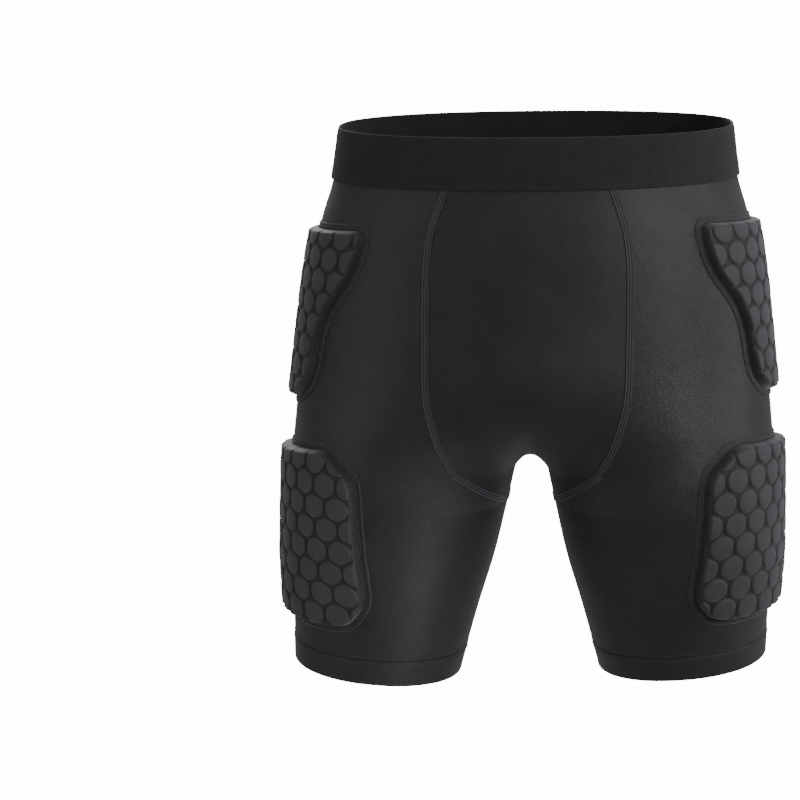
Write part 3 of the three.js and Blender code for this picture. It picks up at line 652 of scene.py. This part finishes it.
def seam_strip(name, z, angle, side):
    """A flatlock band along a path of heights and angles."""
    path, _ = worn(*skin_at(z, angle), side)
    run = np.concatenate([[0], np.cumsum(np.linalg.norm(np.diff(path, axis=0), axis=1))])
    rows = int(run[-1] / SEAM_STEP)

    def place(across, down):
        at = down[:, 0] * run[-1]
        point, normal = worn(*skin_at(np.interp(at, run, z), np.interp(at, run, angle)), side)
        along = np.gradient(point, axis=0)
        along /= np.linalg.norm(along, axis=1, keepdims=True)
        aside = np.cross(normal, along)
        offset = (across - 0.5) * SEAM_WIDTH
        from_edge = SEAM_WIDTH / 2 - np.abs(offset)
        ridge = (np.cos(offset * 2 * np.pi / RIDGE_PITCH) * 0.5 + 0.5) ** RIDGE_SHARPNESS
        swell = np.abs(np.sin(np.pi * at[:, None] / STITCH_PITCH + offset * STITCH_SLANT))
        ridge = ridge * (1 - STITCH_BEAT + STITCH_BEAT * swell)
        lift = SEAM_LIFT + RIDGE_HEIGHT * ridge * smoothstep(0, RIDGE_REACH, from_edge)
        lift = lift - EDGE_FALL * (1 - smoothstep(0, EDGE_FALL_REACH, from_edge))
        spread = aside[:, None, :] * offset[..., None] + normal[:, None, :] * lift[..., None]
        return point[:, None, :] + spread, np.broadcast_to(normal[:, None, :], spread.shape)

    mesh = grid_mesh(name + "_thread", SEAM_COLUMNS, rows, place)
    strip = add_piece(name, mesh, flatlock)
    wall = strip.modifiers.new("wall", "SOLIDIFY")
    wall.thickness, wall.offset = SEAM_WALL * MM, -1


seam_steps = np.linspace(SEAM_START, TORSO_ROWS + GUSSET_ROWS, SEAM_PLACES)
inseam_z = np.linspace(INSEAM_TOP, HEM_Z + HEM_HEIGHT + 1, INSEAM_PLACES)
for hand, side in (("left", 1.0), ("right", -1.0)):
    for name, table, to_back in (("front", FRONT_SEAM, -1.0), ("seat", SEAT_SEAM, 1.0)):
        z, _, angle = seam_at(table, seam_steps)
        seam_strip(f"{name}_seam_{hand}", z, to_back * angle, side)
    inseam = np.radians(INSEAM_ANGLES(inseam_z))
    seam_strip(f"inseam_{hand}", tilted(inseam_z, inseam), inseam, side)


# Pads
# Five foam pads under a smooth stretch cover, moulded into round flat-topped cells with narrow
# grooves between them. Each cover is sewn down round its edge by two lines of stitches on a
# low rib, and the foam rises steeply just inside it. The cover's colour carries painted shade
# in the grooves, at the foot of the foam and on the rib.
RIB_HALF, RIB_HEIGHT, RIB_TO_FOAM, RIM = 2.5, 0.85, 2.5, 2.6
PAD_BASE, FLANGE_HEIGHT, SHOULDER = 0.3, 0.5, 3.7
CELL_CROWN, GROOVE_DEPTH, CELL_TOP, CELL_FOOT, USUAL_PITCH = 0.25, 1.5, 8.2, 9.7, 20
RIB_SHADE, STITCH_SHARES, STITCH_PLACES = 0.65, (-0.55, 0.55), 1.5
# Where the shade beside the rib begins and ends, as shares of the rib's half and of the foam's rise
RIB_EDGE, RIB_FOOT, FOAM_FOOT = (0.85, 1.0), (0.7, 1.0), (0.3, 0.95)
# The cover's third colour is painted shade, for its grooves, the foot of its foam and its rib
COVER_DARK, COVER_LIGHT, COVER_GROOVE_SHADE = (46, 46, 49), (57, 57, 61), (17, 17, 19)
COVER_WALE, COVER_COURSE, COVER_RELIEF, GROOVE_SHADE = 1.0, 0.85, 0.00014, 0.85
PAD_RAISE, PAD_TURN = 2.2, 2.5
COARSE, FINER = 2.1, 2
CORNER_STEPS, CORNER_LIMIT = 6, 0.45
HIP_CORNERS = [
    (0.444, 0, 0.148), (0.74, 0, 0.148), (0.97, 0.196, 0.185), (1, 0.93, 0.104),
    (0, 1, 0.104), (0.02, 0.734, 0.148), (0.237, 0.483, 0.163), (0.267, 0.126, 0.133),
]
THIGH_CORNERS = [
    (0.108, 0, 0.065), (0.854, 0, 0.076), (1, 0.171, 0.086), (1, 0.77, 0.076),
    (0.838, 0.92, 0.076), (0.162, 1, 0.07), (0, 0.843, 0.065), (0, 0.15, 0.065),
]
TAIL_CORNERS = [
    (0.223, 0, 0.092), (0.777, 0, 0.092), (0.808, 0.118, 0.077), (0.823, 0.294, 0.085),
    (1, 0.439, 0.123), (1, 0.829, 0.123), (0.9, 1, 0.077), (0.1, 1, 0.077),
    (0, 0.829, 0.123), (0, 0.439, 0.123), (0.177, 0.294, 0.085), (0.192, 0.118, 0.077),
]
RING_STEPS, RING_SPACING = 160, 2.0
rings = {}


def ring_at(level):
    if level not in rings:
        z = np.array([level])
        front, back = (float(centre_angle(z, to_back)[0]) for to_back in (-1.0, 1.0))
        angles = np.linspace(-front, back, RING_STEPS + 1)
        points, _ = skin_at(np.full_like(angles, level), angles)
        run = np.concatenate([[0], np.cumsum(np.linalg.norm(np.diff(points, axis=0), axis=1))])
        rings[level] = (angles, run)
    return rings[level]


def walk_angles(z, distance, from_back):
    """The angle reached by walking that far round the body, from its side or its centre back."""
    lower = np.floor(z / RING_SPACING) * RING_SPACING
    found = np.zeros((2,) + z.shape)
    for rank in (0, 1):
        for level in np.unique(lower):
            here = lower == level
            angles, run = ring_at(float(level + rank * RING_SPACING))
            start = run[-1] if from_back else np.interp(0, angles, run)
            reach = start - distance[here] if from_back else start + distance[here]
            found[rank][here] = np.interp(reach, run, angles)
    return mix(found[0], found[1], (z - lower) / RING_SPACING)


def rounded_outline(corners, width, height):
    places = np.array([(across * width, up * height) for across, up, _ in corners])
    line = []
    for i, (_, _, rounding) in enumerate(corners):
        at = places[i]
        ends = []
        for other in (places[i - 1], places[(i + 1) % len(places)]):
            way = other - at
            length = np.linalg.norm(way)
            ends.append(at + way / length * min(rounding * width, length * CORNER_LIMIT))
        for t in np.linspace(0, 1, CORNER_STEPS):
            line.append(mix(mix(ends[0], at, t), mix(at, ends[1], t), t))
    return np.array(line)


def inset(line, distance):
    arriving = line - np.roll(line, 1, axis=0)
    leaving = np.roll(line, -1, axis=0) - line
    arriving /= np.linalg.norm(arriving, axis=1, keepdims=True)
    leaving /= np.linalg.norm(leaving, axis=1, keepdims=True)
    inward = np.stack([-arriving[:, 1] - leaving[:, 1], arriving[:, 0] + leaving[:, 0]], axis=1)
    inward /= np.linalg.norm(inward, axis=1, keepdims=True)
    widen = np.sqrt((1 + np.sum(arriving * leaving, axis=1)) / 2)
    return line + inward * (distance / widen)[:, None]


def from_outline(points, line):
    """How far each point is inside the outline, and the nearest place on it."""
    start, end = line, np.roll(line, -1, axis=0)
    way = end - start
    best = np.full(len(points), np.inf)
    nearest = np.zeros_like(points)
    inside = np.zeros(len(points), bool)
    for a, b, d in zip(start, end, way):
        t = np.clip(((points - a) @ d) / (d @ d), 0, 1)
        foot = a + t[:, None] * d
        far = np.linalg.norm(points - foot, axis=1)
        closer = far < best
        best[closer], nearest[closer] = far[closer], foot[closer]
        crosses = (a[1] > points[:, 1]) != (b[1] > points[:, 1])
        if b[1] != a[1]:
            inside ^= crosses & (points[:, 0] < a[0] + (points[:, 1] - a[1]) * d[0] / (b[1] - a[1]))
    return np.where(inside, best, -best), nearest


def from_cell(points, size):
    """The distance to the middle of the nearest foam cell, in rows that alternate."""
    width, height, pitch, off = (size[key] for key in ("width", "height", "pitch", "cells"))
    row_pitch = pitch * math.sqrt(3) / 2
    rows, columns = math.ceil(height / row_pitch), math.ceil(width / pitch)
    best = np.full(len(points), np.inf)
    for row in range(rows + 1):
        y = height / 2 + off[1] + (row - rows / 2) * row_pitch
        shift = (row % 2) / 2
        middle = width / 2 + off[0]
        column = np.rint((points[:, 0] - middle) / pitch + columns / 2 - shift)
        x = middle + (column - columns / 2 + shift) * pitch
        best = np.minimum(best, np.hypot(points[:, 0] - x, points[:, 1] - y))
    return best


def pad_profile(points, outline, size):
    """The height of the cover over the cloth, and how much painted shade its colour takes: in the grooves,
    at the foot of the foam and on the rib.
    """
    deep, _ = from_outline(points, outline)
    deep = deep - size["margin"] + RIB_TO_FOAM
    off_cell = from_cell(points, size) * USUAL_PITCH / size["pitch"]
    groove_and_shade = smoothstep(CELL_TOP, CELL_FOOT, off_cell)
    crown = CELL_CROWN * np.clip(1 - (off_cell / CELL_TOP) ** 2, 0, 1)
    top = size["proud"] + crown - GROOVE_DEPTH * groove_and_shade
    rise = np.clip((deep - RIB_TO_FOAM) / SHOULDER, 0, 1)
    foam = mix(FLANGE_HEIGHT, top, np.sin(rise * np.pi / 2))
    rib = RIB_HEIGHT * np.sqrt(np.clip(1 - (deep / RIB_HALF) ** 2, 0, 1))
    border = np.maximum(rib, FLANGE_HEIGHT)
    # Painted shade at the foot of the foam's steep wall and along the sewn rib
    foot_shade = smoothstep(*RIB_FOOT, deep / RIB_HALF) * (1 - smoothstep(*FOAM_FOOT, rise))
    rib_band_shade = RIB_SHADE * (1 - smoothstep(*RIB_EDGE, np.abs(deep) / RIB_HALF))
    return np.where(deep > RIB_TO_FOAM, foam, border), np.maximum.reduce([groove_and_shade * rise, foot_shade, rib_band_shade])


def pad_body(name, size, lay):
    """A closed pad: a grid cut to the sewn edge, given an underside, and laid on the body."""
    outline = rounded_outline(size["corners"], size["width"], size["height"])
    edge = inset(outline, size["margin"] - RIB_TO_FOAM - RIM)
    low = edge.min(axis=0) - COARSE
    span = edge.max(axis=0) + COARSE - low
    counts = np.ceil(span / COARSE).astype(int)
    bm = bmesh.new()
    bmesh.ops.create_grid(bm, x_segments=int(counts[0]), y_segments=int(counts[1]), size=1)
    for vert in bm.verts:
        vert.co.x = low[0] + (vert.co.x + 1) / 2 * span[0]
        vert.co.y = low[1] + (vert.co.y + 1) / 2 * span[1]
    centres = np.array([face.calc_center_median()[:2] for face in bm.faces])
    deep, _ = from_outline(centres, edge)
    outside = [face for face, d in zip(bm.faces, deep) if d < 0]
    bmesh.ops.delete(bm, geom=outside, context="FACES")
    rim = [vert for vert in bm.verts if vert.is_boundary]
    _, nearest = from_outline(np.array([vert.co[:2] for vert in rim]), edge)
    for vert, place in zip(rim, nearest):
        vert.co.x, vert.co.y = place
    raised = bmesh.ops.extrude_face_region(bm, geom=bm.faces[:])["geom"]
    for vert in (item for item in raised if isinstance(item, bmesh.types.BMVert)):
        vert.co.z = 1.0
    bmesh.ops.recalc_face_normals(bm, faces=bm.faces)
    top = [e for e in bm.edges if e.verts[0].co.z > 0.5 and e.verts[1].co.z > 0.5]
    bmesh.ops.subdivide_edges(bm, edges=top, cuts=FINER, use_grid_fill=True)
    mesh = bpy.data.meshes.new(name)
    bm.to_mesh(mesh)
    bm.free()
    flat = np.empty(len(mesh.vertices) * 3)
    mesh.vertices.foreach_get("co", flat)
    flat = flat.reshape(-1, 3)
    lift, painted_shade = pad_profile(flat[:, :2], outline, size)
    is_top = flat[:, 2] > 0.5
    point, normal = lay(flat[:, 0], flat[:, 1])
    place = point + normal * np.where(is_top, lift, PAD_BASE)[:, None]
    mesh.vertices.foreach_set("co", (place * MM).ravel())
    corner_of = np.empty(len(mesh.loops), int)
    mesh.loops.foreach_get("vertex_index", corner_of)
    layer = mesh.uv_layers.new(name="cloth")
    layer.data.foreach_set("uv", flat[corner_of, :2].ravel())
    # The cover's painted shade goes to the material as a point attribute, full on the pad's sides and
    # underside
    groove_and_shade = mesh.attributes.new("groove_and_shade", "FLOAT", "POINT")
    groove_and_shade.data.foreach_set("value", np.where(is_top, painted_shade, 1.0))
    mesh.update()
    at = int(np.argmax(flat[:, 2]))
    face = next(f for f in mesh.polygons if at in f.vertices and all(is_top[v] for v in f.vertices))
    if np.dot(face.normal, normal[at]) < 0:
        mesh.flip_normals()
    mesh.polygons.foreach_set("use_smooth", [True] * len(mesh.polygons))
    return mesh, outline


def pad_finish():
    """The cover: a smoother, slightly lighter knit, with painted shade in the grooves, at the foot of the
    foam and on the rib.
    """
    material, start, shader = new_finish("pad_cover", roughness=0.62, sheen=0.3, specular=0.35)
    uv, across, down = cloth_places(start)
    groove_and_shade = start.node("ShaderNodeAttribute", {"attribute_name": "groove_and_shade"}, {}, 2)
    wales = across.wave(COVER_WALE)
    courses = (down + wales * 0.3).wave(COVER_COURSE)
    grain = noise(start, uv, 1.1)
    cloud = noise(start, uv, 0.03, 3.0)
    shade = (grain * 0.4 + cloud * 0.6).ramp(0.3, 0.75)
    cover = shade.blend(linear(*COVER_DARK), linear(*COVER_LIGHT))
    # Painted shade: the cover darkens towards its shade colour by the pad's attribute
    colour = (groove_and_shade * GROOVE_SHADE).blend(cover, linear(*COVER_GROOVE_SHADE))
    relief = wales * 0.3 + courses * 0.3 + grain * 0.45
    finish_with(start, shader, colour, relief, COVER_RELIEF)
    return material


pad_cover = pad_finish()


def lay_on_side(side, size):
    """Worn, the left side's pads sit higher and further back, and the right side's the other way."""
    bottom = BAND_TOP - size["drop"] - size["height"] + side * PAD_RAISE
    front = side * PAD_TURN - size["lead"]

    def lay(x, y):
        z = bottom + y
        return worn(*skin_at(z, walk_angles(z, x + front, False)), side)
    return lay


def lay_on_back(size):
    bottom = BAND_TOP - size["drop"] - size["height"]

    def lay(x, y):
        off_centre = x - size["width"] / 2
        z = bottom + y
        point, normal = skin_at(z, walk_angles(z, np.abs(off_centre), True))
        mirror = np.where(off_centre > 0, -1.0, 1.0)
        point[:, 0] *= mirror
        normal[:, 0] *= mirror
        return point, normal
    return lay


def add_pad(name, node, size, lay):
    mesh, outline = pad_body(name + "_foam", size, lay)
    pad = add_piece(name, mesh, pad_cover)
    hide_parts(node)
    for number, share in enumerate(STITCH_SHARES):
        line = inset(outline, size["margin"] - RIB_TO_FOAM + share * RIB_HALF)
        fine = np.vstack([line, line[:1]])
        run = np.concatenate([[0], np.cumsum(np.linalg.norm(np.diff(fine, axis=0), axis=1))])
        at = np.linspace(0, run[-1], int(run[-1] / STITCH_PLACES), endpoint=False)
        flat = np.stack([np.interp(at, run, fine[:, k]) for k in range(2)], axis=1)
        lift, _ = pad_profile(flat, outline, size)
        point, normal = lay(flat[:, 0], flat[:, 1])
        on_rib = point + normal * lift[:, None]
        stitch_row(f"{name}_stitches_{number}", on_rib, normal, PAD_STITCH, closed=True)


HIP_PAD = {
    "corners": HIP_CORNERS, "width": 135.0, "height": 145.0, "drop": 68.0, "lead": 95.5, "margin": 2.5,
    "pitch": 20.0, "cells": (1.5, 1.3), "proud": 8.2, "fill": 0.8,
}
THIGH_PAD = {
    "corners": THIGH_CORNERS, "width": 180.0, "height": 147.0, "drop": 240.0, "lead": 118.5, "margin": 2.5,
    "pitch": 20.0, "cells": (-4.5, 1.5), "proud": 9.6, "fill": 0.9,
}
TAIL_PAD = {
    "corners": TAIL_CORNERS, "width": 130.0, "height": 176.0, "drop": 57.0, "margin": 5.0,
    "pitch": 24.0, "cells": (0.0, 0.0), "proud": 9.2, "fill": 0.8,
}
for hand, side in (("left", 1.0), ("right", -1.0)):
    add_pad(f"hip_cells_{hand}", f"hip_pad_{hand}", HIP_PAD, lay_on_side(side, HIP_PAD))
    add_pad(f"thigh_cells_{hand}", f"thigh_pad_{hand}", THIGH_PAD, lay_on_side(side, THIGH_PAD))
add_pad("tail_cells", "tailbone_pad", TAIL_PAD, lay_on_back(TAIL_PAD))


# Size label
# A small woven tape, folded and sewn flat inside the centre back just below the band. It is
# left bare, with the pale edge that the weave has along its lower end.
LABEL_WIDTH, LABEL_HEIGHT, LABEL_WALL, LABEL_DROP, LABEL_DEPTH = 34.0, 22.0, 0.8, 43.0, 2.5
LABEL_ROUNDING, LABEL_COLUMNS, LABEL_ROWS = 0.15, 30, 16
LABEL_DARK, LABEL_LIGHT, LABEL_PALE = (26, 26, 28), (42, 42, 45), (120, 120, 122)
LABEL_WARP, LABEL_WEFT, LABEL_EDGE, LABEL_RELIEF = 0.7, 0.5, (-18.5, -20.0), 0.0001


def label_place(across, down):
    z = BAND_TOP - LABEL_DROP - LABEL_HEIGHT * down + 0 * across
    off_centre = (across - 0.5) * LABEL_WIDTH + 0 * down
    angle = walk_angles(z, np.abs(off_centre), True)
    point, normal = skin_at(z, angle)
    mirror = np.where(off_centre < 0, -1.0, 1.0)
    point[..., 0] *= mirror
    normal[..., 0] *= mirror
    return point - normal * (LABEL_DEPTH + LABEL_WALL), -normal


def label_finish():
    material, start, shader = new_finish("label_weave", roughness=0.5, sheen=0.1, specular=0.4)
    uv, across, down = cloth_places(start)
    weave = across.wave(LABEL_WARP) * 0.5 + down.wave(LABEL_WEFT) * 0.5
    edge = down.ramp(*LABEL_EDGE)
    tape = weave.blend(linear(*LABEL_DARK), linear(*LABEL_LIGHT))
    colour = edge.blend(tape, linear(*LABEL_PALE))
    finish_with(start, shader, colour, weave, LABEL_RELIEF)
    return material


label_mesh = grid_mesh("label_tape", LABEL_COLUMNS, LABEL_ROWS, label_place)
label = add_piece("woven_size_label", label_mesh, label_finish())
give_wall(label, LABEL_WALL, LABEL_ROUNDING)
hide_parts("size_label")


# Studio
# Plain pale surroundings with a floor far below, a large soft light from the wearer's left front,
# weaker ones round it, a low one that draws a streak down the right thigh, and the camera of
# the photograph.
BODY_MIDDLE = (0, 0, -0.2)
# Each soft light's name, place, target, width in metres and power in watts
AREA_LIGHTS = [
    ("key", (1.75, -2.0, 0.75), BODY_MIDDLE, 0.9, 38),
    ("fill", (-2.1, -1.3, 0.3), BODY_MIDDLE, 1.2, 11),
    ("side", (2.3, -0.2, 0.2), (0.15, 0, -0.2), 1.0, 18),
    ("top", (0.3, 0.3, 2.2), (0, 0, -0.1), 1.2, 16),
    ("back", (-0.6, 2.2, 0.9), BODY_MIDDLE, 1.6, 30),
]
STREAK_PLACE, STREAK_TARGET = (0.52, -0.97, -0.84), (-0.135, -0.08, -0.31)
STREAK_POWER, STREAK_CONE, STREAK_RADIUS = 20, 13.5, 0.06


def light_up(data, place, target):
    light = bpy.data.objects.new(data.name, data)
    bpy.context.scene.collection.objects.link(light)
    light.location = place
    light.rotation_euler = (Vector(target) - Vector(place)).to_track_quat("-Z", "Y").to_euler()


for name, place, target, width, power in AREA_LIGHTS:
    data = bpy.data.lights.new(name, "AREA")
    data.shape, data.size, data.energy = "DISK", width, power
    light_up(data, place, target)
streak = bpy.data.lights.new("streak", "SPOT")
streak.energy, streak.spot_size, streak.spot_blend = STREAK_POWER, math.radians(STREAK_CONE), 1.0
streak.shadow_soft_size = STREAK_RADIUS
light_up(streak, STREAK_PLACE, STREAK_TARGET)

# What the camera sees behind the shorts is paler than what lights them
PALE, AMBIENT = 14.0, 0.3
world = bpy.data.worlds.new("studio")
world.use_nodes = True
background = world.node_tree.nodes["Background"]
background.inputs["Color"].default_value = (1, 1, 1, 1)
seen = world.node_tree.nodes.new("ShaderNodeLightPath").outputs["Is Camera Ray"]
strength = Shade(world.node_tree, seen) * (PALE - AMBIENT) + AMBIENT
world.node_tree.links.new(strength.socket, background.inputs["Strength"])
bpy.context.scene.world = world

FLOOR_RADIUS, FLOOR_SIDES, FLOOR_Z, FLOOR_COLOUR = 40, 64, -1.2, (0.9, 0.9, 0.9, 1)
bm = bmesh.new()
bmesh.ops.create_circle(bm, cap_ends=True, segments=FLOOR_SIDES, radius=FLOOR_RADIUS)
bmesh.ops.translate(bm, verts=bm.verts, vec=(0, 0, FLOOR_Z))
floor_mesh = bpy.data.meshes.new("floor")
bm.to_mesh(floor_mesh)
bm.free()
floor = bpy.data.objects.new("floor", floor_mesh)
bpy.context.scene.collection.objects.link(floor)
pale = bpy.data.materials.new("pale_floor")
pale.use_nodes = True
pale_shader = pale.node_tree.nodes["Principled BSDF"]
pale_shader.inputs["Base Color"].default_value = FLOOR_COLOUR
pale_shader.inputs["Emission Color"].default_value = (1, 1, 1, 1)
pale_shader.inputs["Emission Strength"].default_value = PALE
floor.visible_diffuse = floor.visible_glossy = False
floor_mesh.materials.append(pale)

CAMERA_DISTANCE, CAMERA_RISE, CAMERA_AZIMUTH = 2.2, 0.252, 2.5
CAMERA_PITCH, CAMERA_YAW, CAMERA_LENS, CAMERA_SENSOR = 11.65, 2.755, 126.45, 36.0
camera_data = bpy.data.cameras.new("camera")
camera_data.lens, camera_data.sensor_width = CAMERA_LENS, CAMERA_SENSOR
camera = bpy.data.objects.new("camera", camera_data)
bpy.context.scene.collection.objects.link(camera)
around = math.radians(CAMERA_AZIMUTH)
camera.location = (CAMERA_DISTANCE * math.sin(around), -CAMERA_DISTANCE * math.cos(around), CAMERA_RISE)
camera.rotation_euler = (math.radians(90 - CAMERA_PITCH), 0, math.radians(CAMERA_AZIMUTH + CAMERA_YAW))
bpy.context.scene.camera = camera
